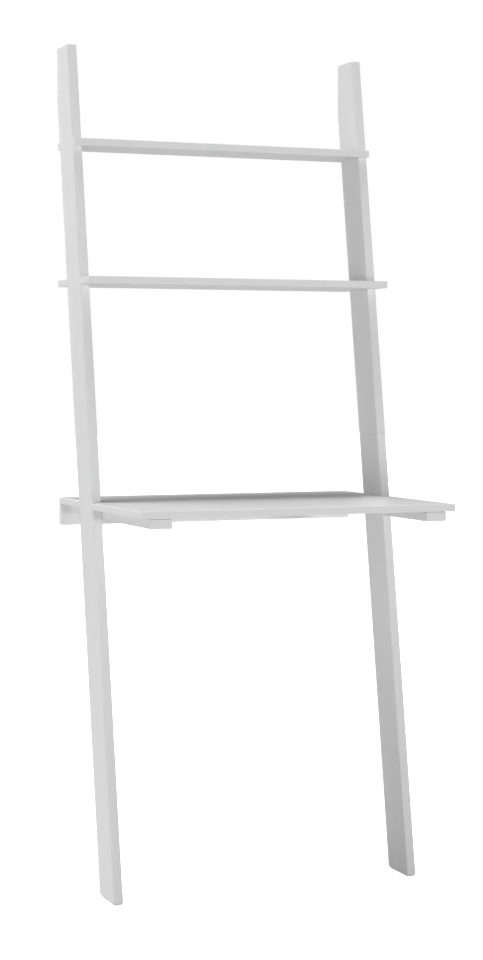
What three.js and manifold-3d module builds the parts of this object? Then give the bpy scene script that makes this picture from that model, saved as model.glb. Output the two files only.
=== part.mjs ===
// A leaning ladder desk: two tilted side rails that rest against a wall, two plain shelves and a
// deep desktop that are notched around the rails, and the hardware that holds the boards together.
// Millimetres. X runs across the desk, +Y points to the wall and +Z up. The origin is on the floor,
// in the middle of the desk's width and depth.

import * as THREE from 'three';
import { mergeVertices } from 'three/addons/utils/BufferGeometryUtils.js';
import Module from 'manifold-3d';

// ---------------------------------------------------------------- driving dimensions

const OVERALL_WIDTH = 640;
const OVERALL_DEPTH = 510;          // wall to the front edge of the desktop
const OVERALL_HEIGHT = 1665;

const RAIL_THICKNESS = 19;
const RAIL_WIDTH = 86;              // square to the rail's own length
const FOOT_REACH = 348;             // wall to the front corner of a foot
const WALL_FACE_HEIGHT = 103;       // upright cut at the top that lies on the wall
const SPLIT_HEIGHT = 890;           // joint between a rail's halves, on its front face
const FOOT_PAD_THICKNESS = 2;
const FOOT_PAD_INSET = 3;

const SHELF_THICKNESS = 14;
const TOP_SHELF_HEIGHT = 1475;      // top faces above the floor
const MIDDLE_SHELF_HEIGHT = 1200;
const DESK_HEIGHT = 760;
const TOP_SHELF_NOSE = 17;          // how far a shelf stands in front of the rails
const MIDDLE_SHELF_NOSE = 60;

const BATTEN_WIDTH = 42;            // one stock for the arms, laid flat, and the apron, on edge
const BATTEN_THICKNESS = 18;
const ARM_SETBACK = 1;              // arm end behind the desktop's front edge

const GAP = 0.3;                    // clearance between pieces that touch or pass through
const NOTCH_GAP = 0.5;              // clearance of a rail in a shelf's notch
const OVERCUT = 1;                  // how far a cutter runs past the face it opens

const DOWEL_DIAMETER = 8;
const SPLICE_DOWEL_LENGTH = 50;
const APRON_DOWEL_LENGTH = 28;
const APRON_DOWEL_IN_DESKTOP = 9;
const APRON_DOWEL_SPREAD = 220;     // between the two dowels
const PAIR_SPACING = 44;            // between the two fixings of one joint across a rail

const CAP_DIAMETER = 11;
const CAP_THICKNESS = 2;
const SHELF_SCREW = { shank: 4, head: 8, length: 44 };
const ARM_SCREW = { shank: 5, head: 9, length: 46 };
const APRON_SCREW = { shank: 4, head: 8, length: 50 };
const DESKTOP_SCREW_SHANK = 4;
const DESKTOP_SCREW_HEAD = 8;
const DESKTOP_SCREW_BITE = 9;       // length in the desktop
const DESKTOP_SCREW_END_DISTANCE = 55;
const PLATE_SCREW = { shank: 3.5, head: 7, length: 18 };

const PLATE_THICKNESS = 2;
const PLATE_WIDTH = 13;
const SPLICE_PLATE_LENGTH = 100;
const SPLICE_SCREW_SPACING = 76;
const HANGER_LENGTH = 56;
const HANGER_DROP = 46;             // middle of the hanger below the rail's top
const HANGER_SCREW_SPACING = 42;
const HANGER_EYE_DIAMETER = 8;      // round end of the keyhole, for a wall screw's head
const HANGER_SLOT_WIDTH = 4;
const HANGER_SLOT_RISE = 9;
const HANGER_WELL_DEPTH = 7;        // room behind the keyhole for that head

const ROUND_STEPS = 12;             // sides of a dowel, screw or cap

// ---------------------------------------------------------------- places worked out from them

const wallY = OVERALL_DEPTH / 2;
const halfWidth = OVERALL_WIDTH / 2;
const railInner = halfWidth - RAIL_THICKNESS;
const railMiddleX = halfWidth - RAIL_THICKNESS / 2;

// The rail's back edge meets the wall where the upright cut begins, and its front corner stands
// FOOT_REACH from the wall. That fixes the lean.
const backEdgeTop = OVERALL_HEIGHT - WALL_FACE_HEIGHT;
const lean = Math.acos(RAIL_WIDTH / Math.hypot(FOOT_REACH, backEdgeTop))
  - Math.atan2(backEdgeTop, FOOT_REACH);
const railFrontY = (z) => wallY - FOOT_REACH + z * Math.tan(lean);
const railMiddleY = (z) => railFrontY(z) + RAIL_WIDTH / Math.cos(lean) / 2;

const deskUnderside = DESK_HEIGHT - SHELF_THICKNESS;
const armTop = deskUnderside - GAP;
const armMiddleZ = armTop - BATTEN_THICKNESS / 2;
const armMiddleX = railInner - GAP - BATTEN_WIDTH / 2;
const apronFrontY = wallY - BATTEN_THICKNESS;
const armFrontY = -OVERALL_DEPTH / 2 + ARM_SETBACK;
const armBackY = apronFrontY - GAP;
const footTop = FOOT_PAD_THICKNESS + GAP;

const SIDES = [
  { name: 'left', sign: -1 },
  { name: 'right', sign: 1 },
];

// ---------------------------------------------------------------- solids and cuts

const wasm = await Module();
wasm.setup();

function toSolid(geometry) {
  const bare = geometry.clone();
  bare.deleteAttribute('normal');
  bare.deleteAttribute('uv');
  const merged = mergeVertices(bare, 1e-5);
  return new wasm.Manifold(new wasm.Mesh({
    numProp: 3,
    vertProperties: new Float32Array(merged.attributes.position.array),
    triVerts: new Uint32Array(merged.index.array),
  }));
}

function toGeometry(solid) {
  const mesh = solid.getMesh();
  const geometry = new THREE.BufferGeometry();
  geometry.setAttribute('position', new THREE.BufferAttribute(mesh.vertProperties, 3));
  geometry.setIndex(new THREE.BufferAttribute(mesh.triVerts, 1));
  geometry.computeVertexNormals();
  return geometry;
}

// A block between two corners.
function block(low, high) {
  const size = high.map((value, axis) => value - low[axis]);
  const middle = high.map((value, axis) => (value + low[axis]) / 2);
  return new THREE.BoxGeometry(...size).translate(...middle);
}

// Where a round piece goes: its own Y axis, head first, turned to the direction it points in.
function pointing(position, direction) {
  const turn = new THREE.Quaternion().setFromUnitVectors(
    new THREE.Vector3(0, 1, 0),
    new THREE.Vector3(...direction).normalize(),
  );
  return new THREE.Matrix4().compose(
    new THREE.Vector3(...position),
    turn,
    new THREE.Vector3(1, 1, 1),
  );
}

function lathe(outline) {
  const points = outline.map(([radius, along]) => new THREE.Vector2(radius, along));
  return new THREE.LatheGeometry(points, ROUND_STEPS);
}

// A countersunk screw, head face at the start. A cutter is the same screw grown by the clearance,
// twice that at the tip, where the cone is steep, and run out past its head.
function screwGeometry({ shank, head, length }, grow = 0) {
  const neck = (head - shank) / 2;
  const shankRadius = shank / 2 + grow;
  const headRadius = head / 2 + grow;
  const tip = length + 2 * grow;
  const start = grow > 0 ? [[0, -OVERCUT], [headRadius, -OVERCUT]] : [[0, 0]];
  return lathe([
    ...start,
    [headRadius, grow],
    [shankRadius, neck + grow],
    [shankRadius, tip - shank],
    [0, tip],
  ]);
}

function dowelGeometry(length, grow = 0) {
  const radius = DOWEL_DIAMETER / 2 + grow;
  const chamfer = 1;
  const end = length / 2 + grow;
  return lathe([
    [0, -end],
    [radius - chamfer, -end],
    [radius, chamfer - end],
    [radius, end - chamfer],
    [radius - chamfer, end],
    [0, end],
  ]);
}

// A cover cap: a thin disc with a softened rim, flush with the board it closes.
function capGeometry(grow = 0) {
  const radius = CAP_DIAMETER / 2 + grow;
  const rim = 0.4;
  const start = grow > 0 ? [[0, -OVERCUT], [radius, -OVERCUT]] : [[0, 0], [radius - rim, 0]];
  return lathe([
    ...start,
    [radius, grow > 0 ? 0 : rim],
    [radius, CAP_THICKNESS + grow],
    [0, CAP_THICKNESS + grow],
  ]);
}

// ---------------------------------------------------------------- materials

const finishes = {
  lacquer: { color: 0xe9e9ea, roughness: 0.45, metalness: 0 },
  capPlastic: { color: 0xf0f0f0, roughness: 0.4, metalness: 0 },
  zincSteel: { color: 0xb9bcc0, roughness: 0.35, metalness: 1 },
  beech: { color: 0xd2b184, roughness: 0.7, metalness: 0 },
  rubber: { color: 0xd9d9d6, roughness: 0.8, metalness: 0 },
};

const desk = new THREE.Group();

function addPiece(name, geometry, finish, place = new THREE.Matrix4()) {
  const material = new THREE.MeshStandardMaterial({ ...finishes[finish], flatShading: true });
  const mesh = new THREE.Mesh(geometry, material);
  mesh.name = name;
  mesh.applyMatrix4(place);
  desk.add(mesh);
}

// Boards stay solids until every hole in them is cut.
const boards = new Map();

function cut(boardNames, geometry, place = new THREE.Matrix4()) {
  const cutter = toSolid(geometry.applyMatrix4(place));
  for (const name of boardNames) {
    boards.set(name, boards.get(name).subtract(cutter));
  }
}

// A fixing is one round piece and its hole in every board that it passes.
function addFixing(name, shape, finish, place, boardNames) {
  addPiece(name, shape(0), finish, place);
  cut(boardNames, shape(GAP), place);
}

// ---------------------------------------------------------------- rails

// A rail's own frame: origin in the middle of the joint between its halves, X across the desk,
// Y from its front edge to its back edge and Z up along its length.
function railFrame(sign) {
  const frontAtSplit = new THREE.Vector3(sign * railMiddleX, railFrontY(SPLIT_HEIGHT), SPLIT_HEIGHT);
  const turn = new THREE.Matrix4().makeRotationX(-lean);
  const middle = new THREE.Vector3(0, RAIL_WIDTH / 2, 0).applyMatrix4(turn).add(frontAtSplit);
  return turn.setPosition(middle);
}

// The space a rail may fill: from its foot pad to the top, and no further back than the wall.
const room = toSolid(block(
  [-halfWidth, -OVERALL_DEPTH, footTop],
  [halfWidth, wallY, OVERALL_HEIGHT],
));

function railBar(from, to, grow = 0) {
  return block(
    [-RAIL_THICKNESS / 2 - grow, -RAIL_WIDTH / 2 - grow, from],
    [RAIL_THICKNESS / 2 + grow, RAIL_WIDTH / 2 + grow, to],
  );
}

for (const { name, sign } of SIDES) {
  const frame = railFrame(sign);
  const lower = toSolid(railBar(-OVERALL_HEIGHT, -GAP / 2).applyMatrix4(frame));
  const upper = toSolid(railBar(GAP / 2, OVERALL_HEIGHT).applyMatrix4(frame));
  boards.set(`${name}_rail_lower`, lower.intersect(room));
  boards.set(`${name}_rail_upper`, upper.intersect(room));
}

// ---------------------------------------------------------------- shelves, desktop, arms, apron

function shelfBoard(topZ, frontY) {
  return toSolid(block(
    [-halfWidth, frontY, topZ - SHELF_THICKNESS],
    [halfWidth, wallY, topZ],
  ));
}

boards.set('top_shelf', shelfBoard(
  TOP_SHELF_HEIGHT,
  railFrontY(TOP_SHELF_HEIGHT) - TOP_SHELF_NOSE,
));
boards.set('middle_shelf', shelfBoard(
  MIDDLE_SHELF_HEIGHT,
  railFrontY(MIDDLE_SHELF_HEIGHT) - MIDDLE_SHELF_NOSE,
));
boards.set('desktop', shelfBoard(DESK_HEIGHT, -OVERALL_DEPTH / 2));

// Each board is notched for the rails, open at its ends, so that its ends lie flush with the
// rails' outer faces.
for (const { sign } of SIDES) {
  const notch = railBar(-OVERALL_HEIGHT, OVERALL_HEIGHT, NOTCH_GAP);
  cut(['top_shelf', 'middle_shelf', 'desktop'], notch, railFrame(sign));
}

for (const { name, sign } of SIDES) {
  const edges = [sign * (railInner - GAP), sign * (railInner - GAP - BATTEN_WIDTH)];
  boards.set(`${name}_desk_arm`, toSolid(block(
    [Math.min(...edges), armFrontY, armTop - BATTEN_THICKNESS],
    [Math.max(...edges), armBackY, armTop],
  )));
}

boards.set('back_apron', toSolid(block(
  [-halfWidth, apronFrontY, armTop - BATTEN_WIDTH],
  [halfWidth, wallY, armTop],
)));

// ---------------------------------------------------------------- rail joints, feet and hangers

function plateGeometry(length, grow = 0) {
  const run = grow > 0 ? OVERCUT : 0;
  return block(
    [-PLATE_WIDTH / 2 - grow, -PLATE_THICKNESS - grow, -length / 2 - grow],
    [PLATE_WIDTH / 2 + grow, run, length / 2 + grow],
  );
}

// The keyhole of a hanger: a round eye for the wall screw's head and a slot above it.
function keyholeSolid(depth, grow = 0) {
  const eye = new THREE.CylinderGeometry(
    HANGER_EYE_DIAMETER / 2 + grow,
    HANGER_EYE_DIAMETER / 2 + grow,
    depth,
    ROUND_STEPS,
  );
  const slot = block(
    [-HANGER_SLOT_WIDTH / 2 - grow, -depth / 2, 0],
    [HANGER_SLOT_WIDTH / 2 + grow, depth / 2, HANGER_SLOT_RISE + grow],
  );
  return toSolid(eye).add(toSolid(slot));
}

const inPlateFace = (along) => new THREE.Matrix4().makeTranslation(0, 0, along)
  .multiply(pointing([0, 0, 0], [0, -1, 0]));

// A steel plate let in flush, with a screw at each end. Its own frame has the board's face at
// Y = 0 and the board below it, towards -Y.
function addPlate(name, length, screwSpacing, frame, boardNames, keyhole) {
  let plate = toSolid(plateGeometry(length));
  if (keyhole) {
    plate = plate.subtract(keyholeSolid(4 * PLATE_THICKNESS));
  }
  cut(boardNames, plateGeometry(length, GAP), frame);
  for (const [end, side] of [['lower', -1], ['upper', 1]]) {
    const place = inPlateFace(side * screwSpacing / 2);
    const screwName = name.replace('plate', `screw_${end}`);
    plate = plate.subtract(toSolid(screwGeometry(PLATE_SCREW, GAP).applyMatrix4(place)));
    const world = frame.clone().multiply(place);
    addFixing(screwName, (grow) => screwGeometry(PLATE_SCREW, grow), 'zincSteel', world, boardNames);
  }
  addPiece(name, toGeometry(plate), 'zincSteel', frame);
}

for (const { name, sign } of SIDES) {
  const halves = [`${name}_rail_lower`, `${name}_rail_upper`];
  const frame = railFrame(sign);

  for (const [where, side] of [['front', -1], ['back', 1]]) {
    const place = pointing([0, side * PAIR_SPACING / 2, 0], [0, 0, 1]).premultiply(frame);
    const dowel = (grow) => dowelGeometry(SPLICE_DOWEL_LENGTH, grow);
    addFixing(`${name}_rail_dowel_${where}`, dowel, 'beech', place, halves);
  }

  const backEdge = new THREE.Matrix4().makeTranslation(0, RAIL_WIDTH / 2, 0).premultiply(frame);
  addPlate(`${name}_splice_plate`, SPLICE_PLATE_LENGTH, SPLICE_SCREW_SPACING, backEdge, halves);

  const hangerMiddle = OVERALL_HEIGHT - HANGER_DROP;
  const wallFace = new THREE.Matrix4().makeTranslation(sign * railMiddleX, wallY, hangerMiddle);
  const rail = `${name}_rail_upper`;
  addPlate(`${name}_hanger_plate`, HANGER_LENGTH, HANGER_SCREW_SPACING, wallFace, [rail], true);
  const well = keyholeSolid(2 * HANGER_WELL_DEPTH, OVERCUT);
  cut([rail], toGeometry(well), wallFace);

  const footFront = railFrontY(footTop) + FOOT_PAD_INSET;
  const footBack = railFrontY(footTop) + RAIL_WIDTH / Math.cos(lean) - FOOT_PAD_INSET;
  const padHalf = RAIL_THICKNESS / 2 - FOOT_PAD_INSET;
  addPiece(`${name}_foot_pad`, block(
    [sign * railMiddleX - padHalf, footFront, 0],
    [sign * railMiddleX + padHalf, footBack, FOOT_PAD_THICKNESS],
  ), 'rubber');
}

// ---------------------------------------------------------------- board-to-rail screws and caps

// Two screws at each crossing run through the rail into the edge of the board, under cover caps.
const crossings = [
  { name: 'top_shelf', z: TOP_SHELF_HEIGHT - SHELF_THICKNESS / 2, screw: SHELF_SCREW },
  { name: 'middle_shelf', z: MIDDLE_SHELF_HEIGHT - SHELF_THICKNESS / 2, screw: SHELF_SCREW },
  { name: 'desk_arm', z: armMiddleZ, screw: ARM_SCREW },
];

for (const crossing of crossings) {
  for (const { name, sign } of SIDES) {
    const label = `${name}_${crossing.name}`;
    const rail = `${name}_rail_${crossing.z > SPLIT_HEIGHT ? 'upper' : 'lower'}`;
    const into = boards.has(label) ? label : crossing.name;
    const inward = [-sign, 0, 0];
    const headX = sign * (halfWidth - CAP_THICKNESS - GAP);
    const screw = (grow) => screwGeometry(crossing.screw, grow);
    for (const [where, side] of [['front', -1], ['back', 1]]) {
      const y = railMiddleY(crossing.z) + side * PAIR_SPACING / 2;
      const capPlace = pointing([sign * halfWidth, y, crossing.z], inward);
      const screwPlace = pointing([headX, y, crossing.z], inward);
      addFixing(`${label}_cap_${where}`, capGeometry, 'capPlastic', capPlace, [rail]);
      addFixing(`${label}_screw_${where}`, screw, 'zincSteel', screwPlace, [rail, into]);
    }
  }
}

// ---------------------------------------------------------------- fixings under the desktop

const desktopScrew = {
  shank: DESKTOP_SCREW_SHANK,
  head: DESKTOP_SCREW_HEAD,
  length: BATTEN_THICKNESS + GAP + DESKTOP_SCREW_BITE,
};

for (const { name, sign } of SIDES) {
  const arm = `${name}_desk_arm`;
  const ends = [
    ['front', armFrontY + DESKTOP_SCREW_END_DISTANCE],
    ['back', armBackY - DESKTOP_SCREW_END_DISTANCE],
  ];
  for (const [where, y] of ends) {
    const place = pointing([sign * armMiddleX, y, armTop - BATTEN_THICKNESS], [0, 0, 1]);
    const screw = (grow) => screwGeometry(desktopScrew, grow);
    addFixing(`${name}_desktop_screw_${where}`, screw, 'zincSteel', place, [arm, 'desktop']);
  }

  const apronScrewPlace = pointing([sign * armMiddleX, wallY, armMiddleZ], [0, -1, 0]);
  const apronScrew = (grow) => screwGeometry(APRON_SCREW, grow);
  addFixing(`${name}_apron_screw`, apronScrew, 'zincSteel', apronScrewPlace, ['back_apron', arm]);

  const dowelMiddleZ = deskUnderside + APRON_DOWEL_IN_DESKTOP - APRON_DOWEL_LENGTH / 2;
  const dowelPlace = pointing(
    [sign * APRON_DOWEL_SPREAD / 2, wallY - BATTEN_THICKNESS / 2, dowelMiddleZ],
    [0, 0, 1],
  );
  const dowel = (grow) => dowelGeometry(APRON_DOWEL_LENGTH, grow);
  addFixing(`${name}_apron_dowel`, dowel, 'beech', dowelPlace, ['back_apron', 'desktop']);
}

for (const [name, solid] of boards) {
  addPiece(name, toGeometry(solid), 'lacquer');
}

export default desk;
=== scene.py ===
# %% [markdown]
# # A white leaning ladder desk
# Two rails lean back against a wall and carry two shelves and a deep desktop. Every board is
# painted in the same white satin lacquer, so the look rests on three things: crisp boards with
# just slightly eased edges, the narrow shadow gaps where boards meet, and soft even light.
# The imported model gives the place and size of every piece, and this script builds the surface
# that is seen around it.

# %% Load the frame
import math

import bmesh
import bpy
from mathutils import Matrix, Vector
from mathutils.geometry import convex_hull_2d


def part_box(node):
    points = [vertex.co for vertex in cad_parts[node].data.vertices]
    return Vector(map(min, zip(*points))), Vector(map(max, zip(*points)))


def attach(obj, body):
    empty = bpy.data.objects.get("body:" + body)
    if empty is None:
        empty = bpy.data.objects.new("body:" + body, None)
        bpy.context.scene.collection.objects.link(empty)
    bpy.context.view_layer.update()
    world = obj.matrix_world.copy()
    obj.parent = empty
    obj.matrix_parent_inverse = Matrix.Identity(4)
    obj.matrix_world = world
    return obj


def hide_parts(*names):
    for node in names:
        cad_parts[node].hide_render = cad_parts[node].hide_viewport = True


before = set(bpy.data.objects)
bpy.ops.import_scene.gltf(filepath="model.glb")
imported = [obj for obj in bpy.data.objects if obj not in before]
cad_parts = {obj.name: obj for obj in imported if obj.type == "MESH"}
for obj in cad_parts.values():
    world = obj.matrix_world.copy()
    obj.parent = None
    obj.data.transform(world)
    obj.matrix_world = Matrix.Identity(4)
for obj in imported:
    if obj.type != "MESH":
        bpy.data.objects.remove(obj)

scene = bpy.context.scene
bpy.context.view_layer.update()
MM = 0.001

# %% [markdown]
# ## Camera
# A tall thin object looks best from far away through a long lens, because a near camera would
# make its top and feet lean apart. The camera stands about four metres away, to the left of
# the desk and a metre above the floor, and it looks very slightly down. Blender keeps the lens
# in millimetres, on a sensor that is 36 mm along the picture's long side.

# %% Camera
EYE = Vector((-1.546, -3.806, 1.005))
TURN_RIGHT = math.radians(21.83)
LOOK_DOWN = math.radians(2.85)
LENS = 77.9
SENSOR = 36

camera_data = bpy.data.cameras.new("studio_camera")
camera_data.lens = LENS
camera_data.sensor_width = SENSOR
camera = bpy.data.objects.new("studio_camera", camera_data)
camera.location = EYE
camera.rotation_euler = (math.radians(90) - LOOK_DOWN, 0, -TURN_RIGHT)
scene.collection.objects.link(camera)
scene.camera = camera

# %% [markdown]
# ## Effects that several finishes share
# A painted board, a moulded cap and a zinc plate have different colours, but the same few
# effects make them look real: a skin that isn't perfectly flat, a tone that drifts a little
# from place to place, and a gloss that is broken by handling. Each effect is one node group
# with its own inputs, so a change to the effect reaches every finish that uses it. A group
# gives only colours, masks and heights. The shader stays in the material.

# %% Helpers: a node group, a sum and a noise
def new_group(name, inputs, outputs):
    """An empty shader group with (name, kind, default) inputs and (name, kind) outputs."""
    group = bpy.data.node_groups.new(name, "ShaderNodeTree")
    kinds = {"value": "NodeSocketFloat", "vector": "NodeSocketVector", "colour": "NodeSocketColor"}
    for label, kind, default in inputs:
        socket = group.interface.new_socket(label, in_out="INPUT", socket_type=kinds[kind])
        if default is not None:
            socket.default_value = default
    for label, kind in outputs:
        group.interface.new_socket(label, in_out="OUTPUT", socket_type=kinds[kind])
    return group, group.nodes.new("NodeGroupInput"), group.nodes.new("NodeGroupOutput")


def maths(tree, operation, a, b):
    """A Math node. Each of a and b is a socket or a number."""
    node = tree.nodes.new("ShaderNodeMath")
    node.operation = operation
    for slot_index, value in enumerate((a, b)):
        if isinstance(value, bpy.types.NodeSocket):
            tree.links.new(value, node.inputs[slot_index])
        else:
            node.inputs[slot_index].default_value = value
    return node.outputs[0]


def noise(tree, vector, scale, detail=2.0, roughness=0.5):
    """A Noise texture. Scale is a socket or a number of bumps to the metre."""
    node = tree.nodes.new("ShaderNodeTexNoise")
    node.inputs["Detail"].default_value = detail
    node.inputs["Roughness"].default_value = roughness
    tree.links.new(vector, node.inputs["Vector"])
    if isinstance(scale, bpy.types.NodeSocket):
        tree.links.new(scale, node.inputs["Scale"])
    else:
        node.inputs["Scale"].default_value = scale
    return node.outputs["Fac"]


print("helpers ready")

# %% [markdown]
# ### Sprayed skin
# Paint, plastic and rubber all have a slight orange peel. Real relief would need millions of
# points, so a noise gives a height for the bump instead. It has fine bumps with wide low waves
# under them, and a reflection then ripples at two sizes, as it does in real paint.

# %% Sprayed skin
WAVE_SCALE = 0.12             # waves to each fine bump
WAVE_HEIGHT = 1.6             # against a fine bump


def sprayed_skin():
    """A height in metres, for a Bump node."""
    group, given, result = new_group(
        "sprayed_skin",
        [("Vector", "vector", None), ("Bumps per metre", "value", 500.0),
         ("Depth mm", "value", 0.01)],
        [("Height", "value")],
    )
    fine = noise(group, given.outputs["Vector"], given.outputs["Bumps per metre"], detail=3.0)
    wide_scale = maths(group, "MULTIPLY", given.outputs["Bumps per metre"], WAVE_SCALE)
    wide = noise(group, given.outputs["Vector"], wide_scale, detail=1.0)
    both = maths(group, "ADD", fine, maths(group, "MULTIPLY", wide, WAVE_HEIGHT))
    metres = maths(group, "MULTIPLY", given.outputs["Depth mm"], MM)
    group.links.new(maths(group, "MULTIPLY", both, metres), result.inputs["Height"])
    return group


skin_group = sprayed_skin()
print("made group", skin_group.name)

# %% [markdown]
# ### Tone drift
# No finish has quite the same colour all over. A soft noise makes it a little lighter in one
# place and darker in another. It multiplies the colour, so the tint itself doesn't change.

# %% Tone drift
NOISE_MIDDLE = 0.5            # a noise swings round this value


def tone_drift():
    """A colour that drifts up and down by the share that Amount gives."""
    group, given, result = new_group(
        "tone_drift",
        [("Vector", "vector", None), ("Colour", "colour", (0.8, 0.8, 0.8, 1.0)),
         ("Patches per metre", "value", 8.0), ("Amount", "value", 0.02)],
        [("Colour", "colour")],
    )
    field = noise(group, given.outputs["Vector"], given.outputs["Patches per metre"], detail=4.0,
                  roughness=0.55)
    off_middle = maths(group, "SUBTRACT", field, NOISE_MIDDLE)
    swing = maths(group, "MULTIPLY", off_middle, given.outputs["Amount"])
    # A noise reaches half each way, so twice its swing gives the whole Amount.
    factor = maths(group, "ADD", maths(group, "MULTIPLY", swing, 2.0), 1.0)
    scale = group.nodes.new("ShaderNodeVectorMath")
    scale.operation = "SCALE"
    group.links.new(given.outputs["Colour"], scale.inputs[0])
    group.links.new(factor, scale.inputs["Scale"])
    group.links.new(scale.outputs[0], result.inputs["Colour"])
    return group


drift_group = tone_drift()
print("made group", drift_group.name)

# %% [markdown]
# ### Handled gloss
# Wiping leaves wide smears, and dust and fingers leave small specks. Both are changes in gloss
# and not in colour, so this effect gives a roughness, and it shows only where light glances off.

# %% Handled gloss
SMEARS_PER_METRE = 14.0
SPECKS_PER_METRE = 260.0
SMEAR_SHARE = 0.75            # the rest is specks


def handled_gloss():
    """A roughness that is broken up by wiping and fingers."""
    group, given, result = new_group(
        "handled_gloss",
        [("Vector", "vector", None), ("Roughness", "value", 0.4), ("Spread", "value", 0.08)],
        [("Roughness", "value")],
    )
    smears = noise(group, given.outputs["Vector"], SMEARS_PER_METRE, detail=5.0, roughness=0.6)
    specks = noise(group, given.outputs["Vector"], SPECKS_PER_METRE, detail=1.0)
    mixed = maths(group, "ADD", maths(group, "MULTIPLY", smears, SMEAR_SHARE),
                  maths(group, "MULTIPLY", specks, 1 - SMEAR_SHARE))
    off_middle = maths(group, "SUBTRACT", mixed, NOISE_MIDDLE)
    swing = maths(group, "MULTIPLY", off_middle, given.outputs["Spread"])
    group.links.new(maths(group, "ADD", given.outputs["Roughness"], swing),
                    result.inputs["Roughness"])
    return group


gloss_group = handled_gloss()
print("made group", gloss_group.name)

# %% [markdown]
# ## Finishes
# A finish starts as the same short chain: a point's place on its own piece feeds the three
# effects, and the effects feed one Principled shader. Every piece is built lying along X, and
# those first coordinates are kept in a mesh attribute, own_place. The finishes read that, so the
# streaks of the lacquer and the grain of the dowels follow a piece however it is turned.
# Numbers that are the same all over, such as metallic, are set on the shader itself.

# %% A helper that puts an effect in a material
def place_group(tree, group, vector, values):
    """Puts an effect in a material, with its own values, and gives the effect's output."""
    node = tree.nodes.new("ShaderNodeGroup")
    node.node_tree = group
    for label, value in values.items():
        node.inputs[label].default_value = value
    tree.links.new(vector, node.inputs["Vector"])
    return node.outputs[0]


print("effect helper ready")

# %% A helper that makes a finish
COATING_IOR = 1.5             # paint, plastic, rubber and oiled wood all bend light about alike


def new_finish(name, colour, roughness, metallic=0.0, patches=8.0, amount=0.02, spread=0.08,
               bumps=500.0, depth=0.01, stretch=(1.0, 1.0, 1.0)):
    """A material with drifting colour, handled gloss and a sprayed skin. Depth is in mm."""
    material = bpy.data.materials.new(name)
    material.use_nodes = True
    tree = material.node_tree
    shader = tree.nodes["Principled BSDF"]
    shader.inputs["Metallic"].default_value = metallic
    shader.inputs["IOR"].default_value = COATING_IOR
    own_place = tree.nodes.new("ShaderNodeAttribute")
    own_place.name = "own_place"
    own_place.attribute_name = "own_place"
    place = own_place.outputs["Vector"]
    along = tree.nodes.new("ShaderNodeMapping")
    along.inputs["Scale"].default_value = stretch
    tree.links.new(place, along.inputs["Vector"])
    drawn_out = along.outputs["Vector"]

    tone = place_group(tree, drift_group, drawn_out, {
        "Colour": (*colour, 1.0), "Patches per metre": patches, "Amount": amount})
    tree.links.new(tone, shader.inputs["Base Color"])
    gloss = place_group(tree, gloss_group, place, {"Roughness": roughness, "Spread": spread})
    tree.links.new(gloss, shader.inputs["Roughness"])
    height = place_group(tree, skin_group, drawn_out, {
        "Bumps per metre": bumps, "Depth mm": depth})
    bump = tree.nodes.new("ShaderNodeBump")
    bump.inputs["Distance"].default_value = 1.0
    tree.links.new(height, bump.inputs["Height"])
    tree.links.new(bump.outputs["Normal"], shader.inputs["Normal"])
    return material


def own_place_of(material):
    """The socket with a point's place on its own piece, for effects that a finish adds."""
    return material.node_tree.nodes["own_place"].outputs["Vector"]


print("finish helper ready")

# %% [markdown]
# ### White satin lacquer
# The boards are sprayed white. Real lacquer isn't pure white: it sends back about three
# quarters of the light. The spray leaves a fine orange peel, slightly drawn out along the
# board, and it pulls thin over an eased edge, where the primer shows a trace darker. Each
# board's mesh carries that edge as an attribute called eased, which this finish reads.

# %% White satin lacquer
LACQUER_WHITE = (0.745, 0.745, 0.745)
THIN_EDGE_TONE = (0.93, 0.93, 0.93, 1.0)
EDGE_BREAKS_PER_METRE = 90.0

lacquer = new_finish("satin_lacquer", LACQUER_WHITE, roughness=0.42, patches=6.0, amount=0.03,
                     spread=0.24, bumps=380.0, depth=0.06, stretch=(0.5, 1.0, 1.0))


def tint(material, mask, colour):
    """Multiplies the finish's colour by another colour where the mask is 1."""
    tree = material.node_tree
    target = tree.nodes["Principled BSDF"].inputs["Base Color"]
    mix = tree.nodes.new("ShaderNodeMix")
    mix.data_type = "RGBA"
    mix.blend_type = "MULTIPLY"
    # A Mix node has separate sockets for each kind of data. These are the ones for colours.
    factor, under, over, result = mix.inputs[0], mix.inputs[6], mix.inputs[7], mix.outputs[2]
    over.default_value = colour
    tree.links.new(mask, factor)
    tree.links.new(target.links[0].from_socket, under)
    tree.links.new(result, target)


edge = lacquer.node_tree.nodes.new("ShaderNodeAttribute")
edge.attribute_name = "eased"
broken = noise(lacquer.node_tree, own_place_of(lacquer), EDGE_BREAKS_PER_METRE, detail=3.0)
thin_paint = maths(lacquer.node_tree, "MULTIPLY", edge.outputs["Fac"], broken)
tint(lacquer, thin_paint, THIN_EDGE_TONE)
print("made", lacquer.name)

# %% [markdown]
# ### Raw core, cap plastic, zinc and rubber
# Where a hole is drilled, the lacquer is gone and the pale wood core shows, with short fibres
# along the board. The caps are moulded plastic, a touch brighter and smoother than the paint.
# Zinc-plated steel is a metal whose colour shifts between cool and slightly yellow patches.
# The foot pads are matt rubber with a coarse skin.

# %% Raw core, cap plastic, zinc steel and foot rubber
CORE_TONE = (0.56, 0.43, 0.29)
CAP_WHITE = (0.76, 0.76, 0.76)
ZINC_GREY = (0.62, 0.63, 0.65)
ZINC_YELLOWING = (1.0, 0.965, 0.88, 1.0)
YELLOW_PATCHES_PER_METRE = 70.0
PAD_GREY = (0.60, 0.60, 0.585)

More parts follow.
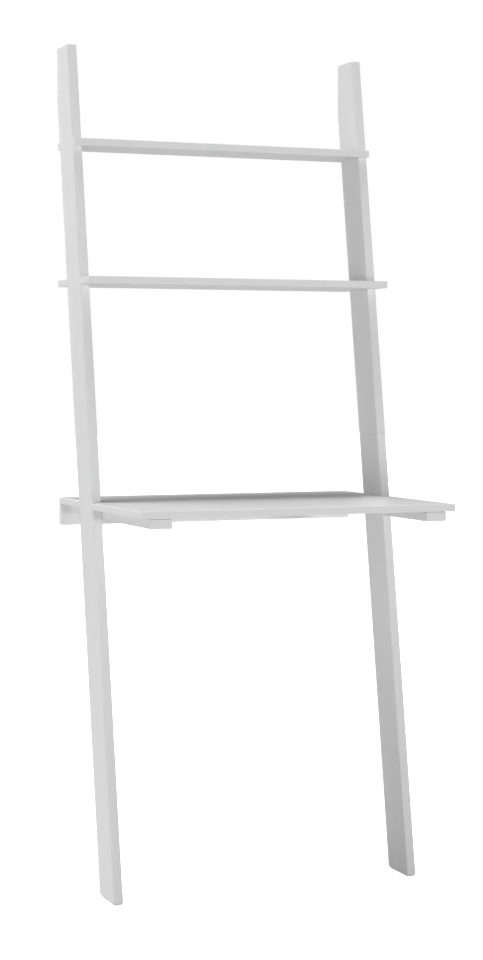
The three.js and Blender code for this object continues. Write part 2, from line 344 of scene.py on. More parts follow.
raw_core = new_finish("raw_core", CORE_TONE, roughness=0.85, patches=60.0, amount=0.10,
                      spread=0.10, bumps=900.0, depth=0.06, stretch=(0.15, 1.0, 1.0))
cap_plastic = new_finish("moulded_plastic", CAP_WHITE, roughness=0.36, patches=40.0,
                         amount=0.010, spread=0.10, bumps=1400.0, depth=0.004)
zinc_steel = new_finish("zinc_plate", ZINC_GREY, roughness=0.34, metallic=1.0,
                        patches=120.0, amount=0.09, spread=0.22, bumps=1800.0, depth=0.004)
foot_rubber = new_finish("ribbed_rubber", PAD_GREY, roughness=0.82, patches=50.0,
                         amount=0.05, spread=0.12, bumps=1100.0, depth=0.05)

zinc_place = own_place_of(zinc_steel)
yellowed = noise(zinc_steel.node_tree, zinc_place, YELLOW_PATCHES_PER_METRE, detail=2.0)
tint(zinc_steel, yellowed, ZINC_YELLOWING)
print("made", ", ".join(m.name for m in (raw_core, cap_plastic, zinc_steel, foot_rubber)))

# %% [markdown]
# ### Beech
# A dowel is turned beech. Its grain is long lines that run the length of the dowel, with short
# darker flecks. A noise that is stretched hard along the piece gives the lines, and a second,
# less stretched one gives the flecks. The skin is stretched like the lines, so the grain also
# stands up a little.

# %% Beech
BEECH_TONE = (0.63, 0.43, 0.24)
FLECK_TONE = (0.62, 0.50, 0.40, 1.0)
FLECK_STRETCH = (0.22, 1.0, 1.0)
FLECKS_PER_METRE = 900.0
FLECK_START = 0.60            # below this value of the noise there is no fleck
FLECK_FULL = 0.72

beech = new_finish("turned_beech", BEECH_TONE, roughness=0.66, patches=260.0,
                   amount=0.10, spread=0.10, bumps=1500.0, depth=0.03, stretch=(0.05, 1.0, 1.0))


def beech_flecks():
    """Short dark flecks along the grain."""
    tree = beech.node_tree
    along = tree.nodes.new("ShaderNodeMapping")
    along.inputs["Scale"].default_value = FLECK_STRETCH
    tree.links.new(own_place_of(beech), along.inputs["Vector"])
    fleck = noise(tree, along.outputs["Vector"], FLECKS_PER_METRE, detail=1.0)
    ramp = tree.nodes.new("ShaderNodeValToRGB")
    ramp.color_ramp.elements[0].position = FLECK_START
    ramp.color_ramp.elements[1].position = FLECK_FULL
    tree.links.new(fleck, ramp.inputs["Fac"])
    tint(beech, ramp.outputs["Color"], FLECK_TONE)


beech_flecks()
print("made", beech.name)

# %% [markdown]
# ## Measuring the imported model
# Every piece is first measured in a frame of its own: X along its length, Z square to its face.
# A leaning rail is then no harder to build than a level shelf. The rails' own frame comes from
# the two dowels that join a rail's halves, because the line from the front dowel to the back
# dowel is exactly square to the rail.

# %% Measure a node in a turned frame
SIDES = {"left": -1, "right": 1}


def turned(along, normal):
    """A 3x3 frame with X along a piece and Z out of its face."""
    x = Vector(along).normalized()
    z = Vector(normal).normalized()
    return Matrix((x, z.cross(x), z)).transposed()


def local_points(node, turn):
    """A node's corners as seen in a turned frame."""
    back = turn.transposed()
    return [back @ corner.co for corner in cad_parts[node].data.vertices]


def local_box(node, turn):
    """The lowest and highest corner of a node in a turned frame."""
    points = local_points(node, turn)
    low = Vector([min(p[axis] for p in points) for axis in range(3)])
    high = Vector([max(p[axis] for p in points) for axis in range(3)])
    return low, high


def middle_of(node):
    """The middle of a node's box."""
    low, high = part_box(node)
    return (low + high) / 2


def placed(turn, point):
    """The matrix that turns a piece and puts its origin at a point."""
    place = turn.to_4x4()
    place.translation = point
    return place


across_rail = (middle_of("left_rail_dowel_back") - middle_of("left_rail_dowel_front")).normalized()
up_rail = Vector((1, 0, 0)).cross(across_rail)
lean = math.atan2(up_rail.y, up_rail.z)
RAIL_TURN = turned(up_rail, (-1, 0, 0))
print("the rails lean back", round(math.degrees(lean), 2), "degrees")

# %% [markdown]
# ## Boards
# A board begins as a prism: one outline, given a thickness. Then its long edges are eased,
# which is what a sanding sponge does before the paint goes on. Real edges always catch a thin
# line of light, and a perfectly sharp edge is the quickest way to make a render look false.
# The bevel tool could do it as a modifier, but done in the mesh it also tells which faces are
# the eased ones, and the lacquer wants to know that.

# %% Helpers: a prism and its eased edges
EASE_STEPS = 4


def prism(low_outline, high_outline):
    """A solid between two outlines with the same number of corners, in order round them."""
    bm = bmesh.new()
    bm.faces.layers.float.new("eased")
    low = [bm.verts.new(point) for point in low_outline]
    high = [bm.verts.new(point) for point in high_outline]
    bm.faces.new(low)
    bm.faces.new(high)
    for i, start in enumerate(low):
        j = (i + 1) % len(low)
        bm.faces.new((start, low[j], high[j], high[i]))
    bmesh.ops.recalc_face_normals(bm, faces=bm.faces)
    return bm


def ease(bm, edges, width, steps=EASE_STEPS):
    """Rounds the given edges over and marks the new faces."""
    made = bmesh.ops.bevel(bm, geom=edges, offset=width, offset_type="OFFSET", segments=steps,
                           profile=0.5, affect="EDGES", clamp_overlap=True)
    eased = bm.faces.layers.float["eased"]
    for face in made["faces"]:
        face[eased] = 1.0


print("an edge is rounded in", EASE_STEPS, "steps")

# %% Helpers: from a mesh to a finished piece
def new_object(name, bm, place, finish):
    """Turns a bmesh in its own frame into an object that stands at the given place."""
    mesh = bpy.data.meshes.new(name)
    bm.to_mesh(mesh)
    bm.free()
    mesh.materials.append(finish)
    thing = bpy.data.objects.new(name, mesh)
    thing.matrix_world = place
    scene.collection.objects.link(thing)
    return thing


def smooth(thing, angle=35):
    """Smooth shading with crisp corners, and flat faces that stay optically flat."""
    thing.data.shade_smooth()
    thing.data.set_sharp_from_angle(angle=math.radians(angle))
    weighted = thing.modifiers.new("flat_faces", "WEIGHTED_NORMAL")
    weighted.keep_sharp = True


def settle(thing):
    """Moves a piece's turn from the object into its mesh, and keeps its own coordinates."""
    mesh = thing.data
    own = mesh.attributes.new("own_place", "FLOAT_VECTOR", "POINT")
    for vertex, kept in zip(mesh.vertices, own.data):
        kept.vector = vertex.co
    mesh.transform(thing.matrix_world)
    thing.matrix_world = Matrix.Identity(4)


def stands_for(thing, node):
    """The piece is in place: it rides with the desk and is shown instead of the node."""
    settle(thing)
    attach(thing, "root")
    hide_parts(node)


print("piece helpers ready")

# %% [markdown]
# ### The four rail halves
# Each rail is two boards end to end. The lower half is cut level at the floor, and the upper
# half is cut upright where it lies on the wall, so its outline has five corners. Both outlines
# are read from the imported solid: a rail is convex, so its hull in side view is its outline.
# The two ends that meet stay sharp, because they are sawn after the edges are eased. That
# leaves only a hairline between the halves.

# %% The four rail halves
RAIL_EASE = 2.2 * MM
STRAIGHT = 0.02               # a turn with a smaller sine than this isn't a corner
JOINT_REACH = 1 * MM          # an edge this near to the joint belongs to it
boards = {}
rail_halves = {side: [f"{side}_rail_lower", f"{side}_rail_upper"] for side in SIDES}


def outline_of(node, turn):
    """The corners of a convex board in its own X and Y, in order."""
    points = sorted({(round(p.x, 5), round(p.y, 5)) for p in local_points(node, turn)})
    hull = [Vector(points[i]) for i in convex_hull_2d(points)]
    corners = []
    for i, here in enumerate(hull):
        arriving = here - hull[i - 1]
        leaving = hull[(i + 1) % len(hull)] - here
        if abs(arriving.normalized().cross(leaving.normalized())) > STRAIGHT:
            corners.append(here)
    return corners


def flat_board(node, turn, width, keep_sharp=lambda edge, middle: False):
    """A board with edges eased to a width. keep_sharp picks the edges to leave alone."""
    low, high = local_box(node, turn)
    middle = (low + high) / 2
    half = (high.z - low.z) / 2
    corners = [corner - middle.xy for corner in outline_of(node, turn)]
    bm = prism([(*c, -half) for c in corners], [(*c, half) for c in corners])
    ease(bm, [e for e in bm.edges if not keep_sharp(e, middle)], width)
    place = placed(turn, turn @ middle)
    boards[node] = new_object(node + "_board", bm, place, lacquer)


# The middle of the joint in a rail. Both rails have it at the same depth and height.
split = (middle_of("left_rail_dowel_front") + middle_of("left_rail_dowel_back")) / 2
split_along = split.dot(up_rail)


def meets_other_half(edge, middle):
    """True for the edges of the end where a rail's halves meet."""
    return all(abs(v.co.x + middle.x - split_along) < JOINT_REACH for v in edge.verts)


for side in SIDES:
    for rail_half in rail_halves[side]:
        flat_board(rail_half, RAIL_TURN, RAIL_EASE, meets_other_half)
rail_low, rail_high = local_box("left_rail_lower", RAIL_TURN)
RAIL_WIDTH = rail_high.y - rail_low.y
print("rails", round(RAIL_WIDTH / MM, 1), "mm wide,", len(boards), "halves")

# %% [markdown]
# ### Shelves and desktop
# A shelf is cut out at both ends so that it slides in behind the rails and grips them. The
# rails lean and the shelf is level, so the notch is slanted: it sits a little further back at
# the shelf's top than at its underside. Cutting it with a boolean would leave its corners
# sharp. Instead the outline already has the notch in it, drawn once for the underside and once
# for the top, and the easing then runs round the notch as well.

# %% Shelves and desktop
SHELF_EASE = 1.4 * MM
NOTCH_GAP = 0.25 * MM
rail_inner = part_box("right_rail_lower")[0].x


def rail_edge_y(z, offset):
    """Where a line parallel to the rail, offset from its middle, crosses the height z."""
    return split.y + (offset - across_rail.z * (z - split.z)) / across_rail.y


def notched_outline(low, high, z):
    """Twelve corners, anticlockwise from the front left one, at the height z."""
    notch_front = rail_edge_y(z, -RAIL_WIDTH / 2 - NOTCH_GAP)
    notch_back = rail_edge_y(z, RAIL_WIDTH / 2 + NOTCH_GAP)
    notch_side = rail_inner - NOTCH_GAP
    right = [(high.x, low.y), (high.x, notch_front), (notch_side, notch_front),
             (notch_side, notch_back), (high.x, notch_back), (high.x, high.y)]
    left = [(-x, y) for x, y in reversed(right)]
    return [(x, y, z) for x, y in left[-1:] + right + left[:-1]]


def notched_board(node):
    """A shelf or the desktop, with its notches and eased edges."""
    low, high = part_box(node)
    place = Matrix.Translation((low + high) / 2)
    bm = prism(notched_outline(low, high, low.z), notched_outline(low, high, high.z))
    bm.transform(place.inverted())
    ease(bm, list(bm.edges), SHELF_EASE)
    boards[node] = new_object(node + "_board", bm, place, lacquer)


for node in ("top_shelf", "middle_shelf", "desktop"):
    notched_board(node)
    print(node, [round(s / MM, 1) for s in boards[node].dimensions], "mm")

# %% [markdown]
# ### Arms and apron
# Two arms run from front to back under the desktop, and the apron closes the back between
# them. They are the same batten, laid flat for the arms and set on edge for the apron.

# %% Arms and apron
BATTEN_EASE = 1.4 * MM
ALONG_Y = turned((0, 1, 0), (0, 0, 1))
APRON_TURN = turned((1, 0, 0), (0, 1, 0))

for side in SIDES:
    flat_board(side + "_desk_arm", ALONG_Y, BATTEN_EASE)
flat_board("back_apron", APRON_TURN, BATTEN_EASE)
print(len(boards), "boards in all")

# %% [markdown]
# ## Round parts
# A dowel, a screw and a cap are all turned shapes, but none is a plain cylinder: a dowel has
# flutes, a screw has a thread that climbs as it goes round, and a cap is dished. A lathe
# modifier can't make a thread. So each is skinned from rings of points, where the radius is
# worked out for every angle. A point's angle can then move the thread along the screw.

# %% Helpers: rings of points along X
ROUND_STEPS = 32


def ring(along, radius_at, steps=ROUND_STEPS):
    """One ring round the X axis. radius_at gives the radius at an angle, in turns."""
    points = []
    for i in range(steps):
        turns = i / steps
        radius = radius_at(turns)
        angle = turns * math.tau
        points.append((along, radius * math.cos(angle), radius * math.sin(angle)))
    return points


def round_ring(along, radius, steps=ROUND_STEPS):
    """A ring with the same radius all round."""
    return ring(along, lambda turns: radius, steps)


def skin(rings):
    """A closed surface over rings. A ring of one point is a tip or the middle of an end."""
    bm = bmesh.new()
    bm.faces.layers.float.new("eased")
    made = [[bm.verts.new(point) for point in points] for points in rings]
    for one, two in zip(made, made[1:]):
        count = max(len(one), len(two))
        for i in range(count):
            j = (i + 1) % count
            corners = (one[i % len(one)], one[j % len(one)], two[j % len(two)], two[i % len(two)])
            bm.faces.new(list(dict.fromkeys(corners)))
    bmesh.ops.recalc_face_normals(bm, faces=bm.faces)
    return bm


def arc(x, y, radius, start, end, steps=6):
    """Points on an arc round (x, y), with its angles in degrees from the first axis."""
    points = []
    for i in range(steps + 1):
        angle = math.radians(start + (end - start) * i / steps)
        points.append((x + radius * math.cos(angle), y + radius * math.sin(angle)))
    return points


def lathe(pairs):
    """A turned shape from (along, radius) pairs. It closes on the axis at both ends."""
    first, last = pairs[0][0], pairs[-1][0]
    rings = [round_ring(along, radius) for along, radius in pairs]
    return skin([[(first, 0, 0)], *rings, [(last, 0, 0)]])


def round_part(node, direction, share=0.0):
    """Where a round node lies, and its radius and length. X runs in the given direction.

    The origin is that share of the length along the piece, so 0 is its start.
    """
    turn = turned(direction, Vector(direction).orthogonal())
    low, high = local_box(node, turn)
    radius = (high.y - low.y) / 2
    length = high.x - low.x
    on_axis = Vector((low.x + length * share, (low.y + high.y) / 2, (low.z + high.z) / 2))
    return placed(turn, turn @ on_axis), radius, length


print("round helpers ready")

# %% [markdown]
# ### Holes
# A hole is cut with a turned or a prismatic cutter and the boolean modifier, because a drill
# really does cut through whatever stands in its way: one cutter goes through the rail and on
# into the shelf. The exact solver copes with thin walls. The cutters wear the raw core finish,
# so that the modifier leaves raw wood inside each hole. All the cuts are collected first and
# made together at the end, and the cutters are then thrown away.

# %% Helpers: collect cutters, then cut
RUN_OUT = 1 * MM              # how far a cutter stands out in front of the surface
holes = {}


def drill(board_names, bm, place):
    """Keeps a cutter for the boards it goes through."""
    cutter = new_object("cutter", bm, place, raw_core)
    for name in board_names:
        holes.setdefault(name, []).append(cutter)


def cut_out(thing, cutters):
    """Takes the cutters' shapes out of a mesh for good."""
    for cutter in cutters:
        hole = thing.modifiers.new("hole", "BOOLEAN")
        hole.operation = "DIFFERENCE"
        hole.solver = "EXACT"
        hole.material_mode = "TRANSFER"
        hole.object = cutter
    scene_now = bpy.context.evaluated_depsgraph_get()
    finished = bpy.data.meshes.new_from_object(thing.evaluated_get(scene_now))
    thing.modifiers.clear()
    thing.data = finished


print("drill ready")

# %% [markdown]
# ### Screws
# A countersunk wood screw has a flat head with a cross recess, a plain neck and a thread that
# tapers to a point. The thread is a ridge in the radius: at each point, the distance to the
# helix says how high the ridge is. The recess is a plus-shaped cutter that narrows as it goes
# down, as the tip of a cross-head driver does.

# %% A screw's mesh
SCREW_PITCH = 2.0 * MM
ROWS_PER_TURN = 6
SCREW_STEPS = 20
HEAD_RIM = 0.15 * MM          # the broken edge of the head
HEAD_LAND = 0.5 * MM          # the head's straight side, before it narrows
THREAD_DEPTH = 0.24           # share of the shank's radius
THREAD_START = 3              # shank radii behind the head
TIP_LENGTH = 2                # shank radii
TIP_BLUNT = 0.08              # share of the tip that the thread leaves bare
RIDGE_SLOPE = 3.2             # a steeper ridge is a sharper thread
RECESS_MOUTH = (0.62, 0.13)   # reach and half width, as shares of the head's radius
RECESS_FLOOR = (0.24, 0.10)
RECESS_DEPTH = 0.95           # share of the neck
RECESS_RUN_OUT = 0.2 * MM


def plus_outline(reach, width, along):
    """The twelve corners of a plus sign, in order, square to the X axis."""
    quarter = [(reach, -width), (reach, width), (width, width)]
    corners = []
    for i in range(4):
        turn = Matrix.Rotation(i * math.pi / 2, 2)
        corners += [turn @ Vector(corner) for corner in quarter]
    return [(along, *corner) for corner in corners]


def screw_mesh(head, shank, length):
    """A screw along X with its head face at 0. head and shank are radii."""
    neck = head - shank
    tip = TIP_LENGTH * shank
    root = shank * (1 - THREAD_DEPTH)
    thread_start = neck + THREAD_START * shank
    thread_length = length - tip * TIP_BLUNT - thread_start

    def radius_at(along, turns):
        taper = min(1.0, (length - along) / tip)
        # The helix is where the phase is a half, and the ridge falls away on both sides.
        phase = ((along - thread_start) / SCREW_PITCH - turns) % 1.0
        ridge = max(0.0, 1 - abs(phase - 0.5) * RIDGE_SLOPE)
        return max(0.0, taper) * (root + (shank - root) * ridge)

    head_profile = [(0, head - HEAD_RIM), (HEAD_RIM, head), (HEAD_LAND, head),
                    (neck + HEAD_LAND, root)]
    rings = [[(0, 0, 0)]]
    rings += [round_ring(along, radius, SCREW_STEPS) for along, radius in head_profile]
    rows = round(thread_length / SCREW_PITCH * ROWS_PER_TURN)
    for i in range(rows + 1):
        along = thread_start + thread_length * i / rows
        rings.append(ring(along, lambda turns: radius_at(along, turns), SCREW_STEPS))
    rings.append([(length, 0, 0)])
    screw = new_object("screw_pattern", skin(rings), Matrix.Identity(4), zinc_steel)
    mouth = plus_outline(*(head * share for share in RECESS_MOUTH), -RECESS_RUN_OUT)
    recess_floor = plus_outline(*(head * share for share in RECESS_FLOOR), neck * RECESS_DEPTH)
    recess = prism(mouth, recess_floor)
    cutter = new_object("cutter", recess, Matrix.Identity(4), zinc_steel)
    cut_out(screw, [cutter])
    mesh = screw.data
    bpy.data.objects.remove(screw)
    bpy.data.objects.remove(cutter)
    return mesh


print("screw mesh ready")

# %% A screw in its hole
HOLE_GAP = 0.15 * MM


def screw_hole(head, shank, length):
    """The cutter for a screw: a countersink for the head, a bore and a pointed end."""
    neck = head - shank
    pairs = [(-RUN_OUT, head + HOLE_GAP), (HEAD_LAND, head + HOLE_GAP),
             (neck + HEAD_LAND, shank + HOLE_GAP),
             (length - TIP_LENGTH * shank, shank + HOLE_GAP), (length + HOLE_GAP, HOLE_GAP)]
    return lathe(pairs)


screw_meshes = {}


def add_screw(node, direction, shank, board_names):
    """One screw in place of a node, with its hole. direction points into the wood."""
    place, radius, length = round_part(node, direction)
    size = (round(radius, 5), shank, round(length, 5))
    if size not in screw_meshes:
        screw_meshes[size] = screw_mesh(*size)
    screw = bpy.data.objects.new(node + "_steel", screw_meshes[size].copy())
    screw.matrix_world = place
    scene.collection.objects.link(screw)
    drill(board_names, screw_hole(*size), place)
    smooth(screw)
    stands_for(screw, node)
    return place


print("screws ready")

# %% [markdown]
# ### Cover caps
# A cap hides each screw that goes through a rail. It is a thin moulded disc: the rim is rounded
# over, and the face is dished by about a tenth of a millimetre, which is enough for the light
# to find it. Its back is hollow, as thin mouldings are.

# %% Cover caps
CAP_RIM = 0.35 * MM
CAP_DISH = 0.12 * MM
CAP_WALL = 0.9 * MM
CAP_GAP = 0.06 * MM
CAP_HOLLOW = 0.55             # the hollow reaches in to this share of the depth
CAP_DRAFT = 1.2               # the wall is this much thicker at the bottom of the hollow
FACE_RINGS = (0.1, 0.3, 0.5, 0.7, 0.85, 1.0)


def add_cap(node, direction, rail):
    """A cap flush with the rail's face, in place of a node."""
    place, radius, depth = round_part(node, direction)
    face = [(CAP_DISH * (1 - share * share), share * (radius - CAP_RIM)) for share in FACE_RINGS]
    rim = arc(CAP_RIM, radius - CAP_RIM, CAP_RIM, 180, 90, steps=4)
    back = [(depth, radius), (depth, radius - CAP_WALL),
            (depth * CAP_HOLLOW, radius - CAP_WALL * CAP_DRAFT)]
    cap = new_object(node + "_plastic", lathe(face + rim[1:] + back), place, cap_plastic)
    smooth(cap)
    stands_for(cap, node)
    pocket = [(-RUN_OUT, radius + CAP_GAP), (depth + CAP_GAP, radius + CAP_GAP)]
    drill([rail], lathe(pocket), place)


print("caps ready")

# %% [markdown]
# ### Where the screws go
# At each crossing of a board and a rail, two screws run through the rail into the board's end,
# and a cap hides each head. The shelves cross the upper half of a rail, and a desk arm crosses
# the lower half. Under the desktop, the screws run up through the arms, and one more runs from
# the wall side through the apron into each arm. Each screw takes its place and its size from
# its own node, so only its direction and its boards are given here.

# %% The fixings at each crossing of a board and a rail
SHELF_SHANK = 2.0 * MM
ARM_SHANK = 2.5 * MM

crossings = {
    "top_shelf": ("rail_upper", SHELF_SHANK),
    "middle_shelf": ("rail_upper", SHELF_SHANK),
    "desk_arm": ("rail_lower", ARM_SHANK),
}
for side, sign in SIDES.items():
    for board, (rail, shank) in crossings.items():
        into = board if board in boards else f"{side}_{board}"
        for where in ("front", "back"):
            inward = (-sign, 0, 0)
            add_cap(f"{side}_{board}_cap_{where}", inward, f"{side}_{rail}")
            screw_name = f"{side}_{board}_screw_{where}"
            add_screw(screw_name, inward, shank, [f"{side}_{rail}", into])
print(sum(len(cutters) for cutters in holes.values()), "holes planned so far")

# %% The screws under the desktop
DESKTOP_SHANK = 2.0 * MM
APRON_SHANK = 2.0 * MM

for side in SIDES:
    arm = side + "_desk_arm"
    for where in ("front", "back"):
        add_screw(f"{side}_desktop_screw_{where}", (0, 0, 1), DESKTOP_SHANK, [arm, "desktop"])
    add_screw(side + "_apron_screw", (0, -1, 0), APRON_SHANK, ["back_apron", arm])
print(len(screw_meshes), "sizes of screw so far")

# %% [markdown]
# ### Dowels
# Two fluted dowels line up the halves of each rail, and two more tie the apron to the desktop.
# The flutes let the glue escape, and the ends are chamfered so that the dowel finds its hole.

# %% Dowels
FLUTES = 14
FLUTE_DEPTH = 0.22 * MM
DOWEL_CHAMFER = 1.0 * MM
DOWEL_STEPS = 3 * FLUTES


def add_dowel(node, direction, board_names):
    """A fluted dowel in place of a node, with its hole."""
    place, radius, length = round_part(node, direction, share=0.5)
    half = length / 2

    def fluted(along, shrink):
        def radius_at(turns):
            groove = FLUTE_DEPTH * max(0.0, math.cos(turns * FLUTES * math.tau))
            return radius - shrink - groove
        return ring(along, radius_at, DOWEL_STEPS)

    rings = [[(-half, 0, 0)], fluted(-half, DOWEL_CHAMFER),
             fluted(DOWEL_CHAMFER - half, 0), fluted(half - DOWEL_CHAMFER, 0),
             fluted(half, DOWEL_CHAMFER), [(half, 0, 0)]]
    dowel = new_object(node + "_beech", skin(rings), place, beech)
    smooth(dowel, angle=50)
    stands_for(dowel, node)
    bore = [(-half - HOLE_GAP, radius + HOLE_GAP), (half + HOLE_GAP, radius + HOLE_GAP)]
    drill(board_names, lathe(bore), place)


for side in SIDES:
    for where in ("front", "back"):
        add_dowel(f"{side}_rail_dowel_{where}", up_rail, rail_halves[side])
    add_dowel(side + "_apron_dowel", (0, 0, 1), ["back_apron", "desktop"])
print("dowels done")

# %% [markdown]
# ### Steel plates
# A plate let into the back edge holds the two halves of a rail together. At the top, a plate
# with a keyhole hangs the rail on a screw in the wall. Both are punched from strip: the corners
# are rounded, the rim is slightly broken, and the holes are countersunk for the screws.

# %% The plates' outlines
PLATE_CORNER = 3.0 * MM
PLATE_RIM = 0.25 * MM
PLATE_GAP = 0.12 * MM
PLATE_SHANK = 1.75 * MM
EYE_RADIUS = 4.0 * MM
SLOT_RADIUS = 2.0 * MM
SLOT_RISE = 9.0 * MM
WELL_DEPTH = 7.0 * MM
WELL_MARGIN = 1 * MM          # the well in the wood is this much wider all round
SAME_PLACE = 0.1 * MM         # an edge whose ends differ by less lies in an end face


def plate_outline(half_length, half_width):
    """A rectangle with rounded corners."""
    x = half_length - PLATE_CORNER
    y = half_width - PLATE_CORNER
    return (arc(x, y, PLATE_CORNER, 0, 90) + arc(-x, y, PLATE_CORNER, 90, 180)
            + arc(-x, -y, PLATE_CORNER, 180, 270) + arc(x, -y, PLATE_CORNER, 270, 360))


def keyhole_outline(grow=0.0):
    """A round eye with a narrower slot that rises along X and ends round."""
    eye = EYE_RADIUS + grow
    slot = SLOT_RADIUS + grow
    opening = math.degrees(math.asin(slot / eye))
    return (arc(0, 0, eye, opening, 360 - opening, steps=20)
            + arc(SLOT_RISE - SLOT_RADIUS, 0, slot, -90, 90, steps=8))


def slab(outline, low, high):
    """An outline with a thickness, from the height low to the height high."""
    return prism([(*p, low) for p in outline], [(*p, high) for p in outline])


def end_edges(bm, axis):
    """The edges round both ends of a prism that was drawn out along an axis."""
    return [e for e in bm.edges
            if abs(e.verts[0].co[axis] - e.verts[1].co[axis]) < SAME_PLACE]


print("a corner has", len(arc(0, 0, PLATE_CORNER, 0, 90)), "points")

# %% Let the plates in
def add_plate(node, along, outward, screw_nodes, board_names, keyhole=False):
    """A flush plate with its screws, its pocket and, on a hanger, its keyhole."""
    turn = turned(along, outward)
    low, high = local_box(node, turn)
    place = placed(turn, turn @ Vector(((low.x + high.x) / 2, (low.y + high.y) / 2, high.z)))
    half_length = (high.x - low.x) / 2
    half_width = (high.y - low.y) / 2
    thickness = high.z - low.z
    bm = slab(plate_outline(half_length, half_width), -thickness, 0)
    ease(bm, end_edges(bm, 2), PLATE_RIM, steps=2)
    plate = new_object(node + "_steel", bm, place, zinc_steel)

    pocket = plate_outline(half_length + PLATE_GAP, half_width + PLATE_GAP)
    drill(board_names, slab(pocket, -thickness - PLATE_GAP, RUN_OUT), place)
    cutters = []
    for screw_node in screw_nodes:
        screw_place = add_screw(screw_node, -Vector(outward), PLATE_SHANK, board_names)
        screw_low, screw_high = local_box(screw_node, turn)
        head = (screw_high.y - screw_low.y) / 2
        sink = screw_hole(head, PLATE_SHANK, screw_high.z - screw_low.z)
        cutters.append(new_object("cutter", sink, screw_place, zinc_steel))
    if keyhole:
        key = slab(keyhole_outline(), -2 * thickness, RUN_OUT)
        cutters.append(new_object("cutter", key, place, zinc_steel))
        well = slab(keyhole_outline(WELL_MARGIN), -WELL_DEPTH, -thickness)
        drill(board_names, well, place)
    cut_out(plate, cutters)
    for cutter in cutters:
        bpy.data.objects.remove(cutter)
    smooth(plate)
    stands_for(plate, node)


for side in SIDES:
    add_plate(side + "_splice_plate", up_rail, across_rail,
              [f"{side}_splice_screw_lower", f"{side}_splice_screw_upper"], rail_halves[side])
    add_plate(side + "_hanger_plate", (0, 0, 1), (0, 1, 0),
              [f"{side}_hanger_screw_lower", f"{side}_hanger_screw_upper"],
              [side + "_rail_upper"], keyhole=True)
print(len(screw_meshes), "sizes of screw in all")

# %% [markdown]
# ### Foot pads
# A strip of rubber is glued under each foot to keep it from slipping. It is cut from a ribbed
# extrusion, so the shape is one cross-section with grooves in its underside, drawn out along
# the foot.

# %% Foot pads
RIBS = 4
GROOVE_DEPTH = 0.6 * MM
PAD_EASE = 0.3 * MM


def pad_section(half_width, height):
    """The cross-section of the strip, from the top left corner round by the underside."""
    section = [(-half_width, height), (-half_width, 0)]
    rib = 2 * half_width / (2 * RIBS - 1)
    for i in range(1, RIBS):
        start = -half_width + (2 * i - 1) * rib
        section += [(start, 0), (start, GROOVE_DEPTH)]
        section += [(start + rib, GROOVE_DEPTH), (start + rib, 0)]
    return section + [(half_width, 0), (half_width, height)]


for side in SIDES:
    node = side + "_foot_pad"
    low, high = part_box(node)
    place = placed(ALONG_Y, Vector(((low.x + high.x) / 2, (low.y + high.y) / 2, low.z)))
    half_length = (high.y - low.y) / 2
    section = pad_section((high.x - low.x) / 2, high.z - low.z)
    bm = prism([(-half_length, *p) for p in section], [(half_length, *p) for p in section])
    ease(bm, end_edges(bm, 0), PAD_EASE, steps=2)
    pad = new_object(node + "_rubber", bm, place, foot_rubber)
    smooth(pad)
    stands_for(pad, node)
print("foot pads done")

# %% [markdown]
# ## Drill the boards
# Now every cutter has been placed, so each board is cut once. The order doesn't matter, because
# a hole is a hole whichever drill came first.

# %% Drill the boards
for node, board in boards.items():
    cut_out(board, holes.get(node, []))
    smooth(board)
    stands_for(board, node)
    print(node, len(holes.get(node, [])), "holes,", len(board.data.polygons), "faces")
for cutter in {cutter for cutters in holes.values() for cutter in cutters}:
    bpy.data.objects.remove(cutter)

# %% [markdown]
# ## Floor and light
# The desk stands on a plain pale floor in a white studio. The floor casts no shadow, so a light
# from below passes through it, as on a light table. To the camera alone, the floor and the
# world behind it also glow a plain white. The background then stays even, and the glow puts no
# light on the desk.

# %% Floor
FLOOR_SIZE = 60.0
FLOOR_TONE = (0.60, 0.60, 0.60)
PAPER_GLOW = 0.85
PURE_WHITE = (1.0, 1.0, 1.0, 1.0)

bm = bmesh.new()
bmesh.ops.create_grid(bm, x_segments=8, y_segments=8, size=FLOOR_SIZE / 2)
floor_finish = new_finish("floor_paint", FLOOR_TONE, roughness=0.9, patches=0.8, amount=0.004,
                          spread=0.05, bumps=60.0, depth=0.02)
floor = new_object("floor", bm, Matrix.Identity(4), floor_finish)
settle(floor)
floor.visible_shadow = False


def only_for_camera(tree, strength):
    """A value that is strength where the camera looks straight at the surface, else 0."""
    path = tree.nodes.new("ShaderNodeLightPath")
    return maths(tree, "MULTIPLY", path.outputs["Is Camera Ray"], strength)


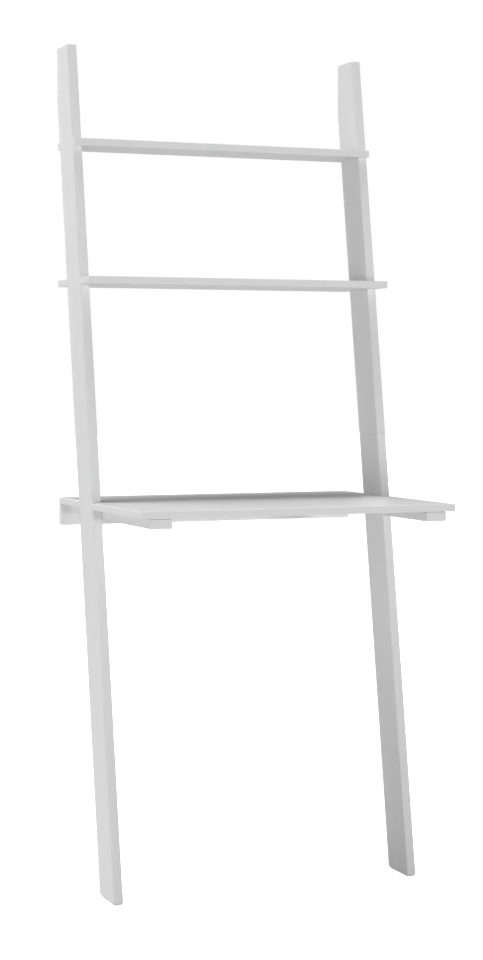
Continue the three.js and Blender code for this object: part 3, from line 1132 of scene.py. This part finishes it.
floor_shader = floor_finish.node_tree.nodes["Principled BSDF"]
floor_shader.inputs["Specular IOR Level"].default_value = 0.0
floor_shader.inputs["Emission Color"].default_value = PURE_WHITE
glow = only_for_camera(floor_finish.node_tree, PAPER_GLOW)
floor_finish.node_tree.links.new(glow, floor_shader.inputs["Emission Strength"])
print("floor", FLOOR_SIZE, "m")

# %% [markdown]
# ### Soft lights
# A white desk on white is drawn by its light alone, so the light has to come from somewhere.
# Most of it comes from high up: a strong light behind the desk on the left, a weak one behind
# it on the right, and one straight overhead. They make the tops and the left sides the brightest
# faces, and each shelf puts the boards below it in soft shade. A low light from the front left
# comes up through the floor to the undersides, and a level one from the front right lifts the
# front edges. These two make no glints, or the tops would glare when seen from behind. Two
# fills, on the left and at the back, keep those sides from going dark. Each light is a sun with
# a wide disc, because it stays equally soft and strong over the whole height of the desk, as a
# very large and distant softbox does.

# %% Soft lights
DOME_STRENGTH = 0.02
PAPER_WHITE = 1.0

world = bpy.data.worlds.new("studio")
world.use_nodes = True
scene.world = world
sky = world.node_tree.nodes["Background"]
sky.inputs["Color"].default_value = PURE_WHITE
seen = only_for_camera(world.node_tree, PAPER_WHITE - DOME_STRENGTH)
strength_now = maths(world.node_tree, "ADD", seen, DOME_STRENGTH)
world.node_tree.links.new(strength_now, sky.inputs["Strength"])


def soft_light(name, around, above, disc, strength, glints=True):
    """A wide sun. around is its bearing in degrees, 0 in front and -90 on the left.

    above is its height and disc its width, in degrees too. Without glints it isn't mirrored.
    """
    lamp = bpy.data.lights.new(name, "SUN")
    lamp.energy = strength
    lamp.angle = math.radians(disc)
    light = bpy.data.objects.new(name, lamp)
    light.rotation_euler = (math.radians(90 - above), 0, math.radians(around))
    light.visible_glossy = glints
    scene.collection.objects.link(light)


soft_light("key_high_left", around=-120, above=64, disc=36, strength=1.65)
soft_light("key_high_right", around=120, above=64, disc=36, strength=0.4)
soft_light("overhead", around=0, above=90, disc=20, strength=1.4)
soft_light("table_front_left", around=-30, above=-8, disc=16, strength=0.8, glints=False)
soft_light("level_front_right", around=36, above=1, disc=12, strength=1.1, glints=False)
soft_light("fill_left", around=-90, above=10, disc=24, strength=0.75)
soft_light("fill_back", around=180, above=10, disc=24, strength=0.7)
scene.view_settings.view_transform = "Standard"
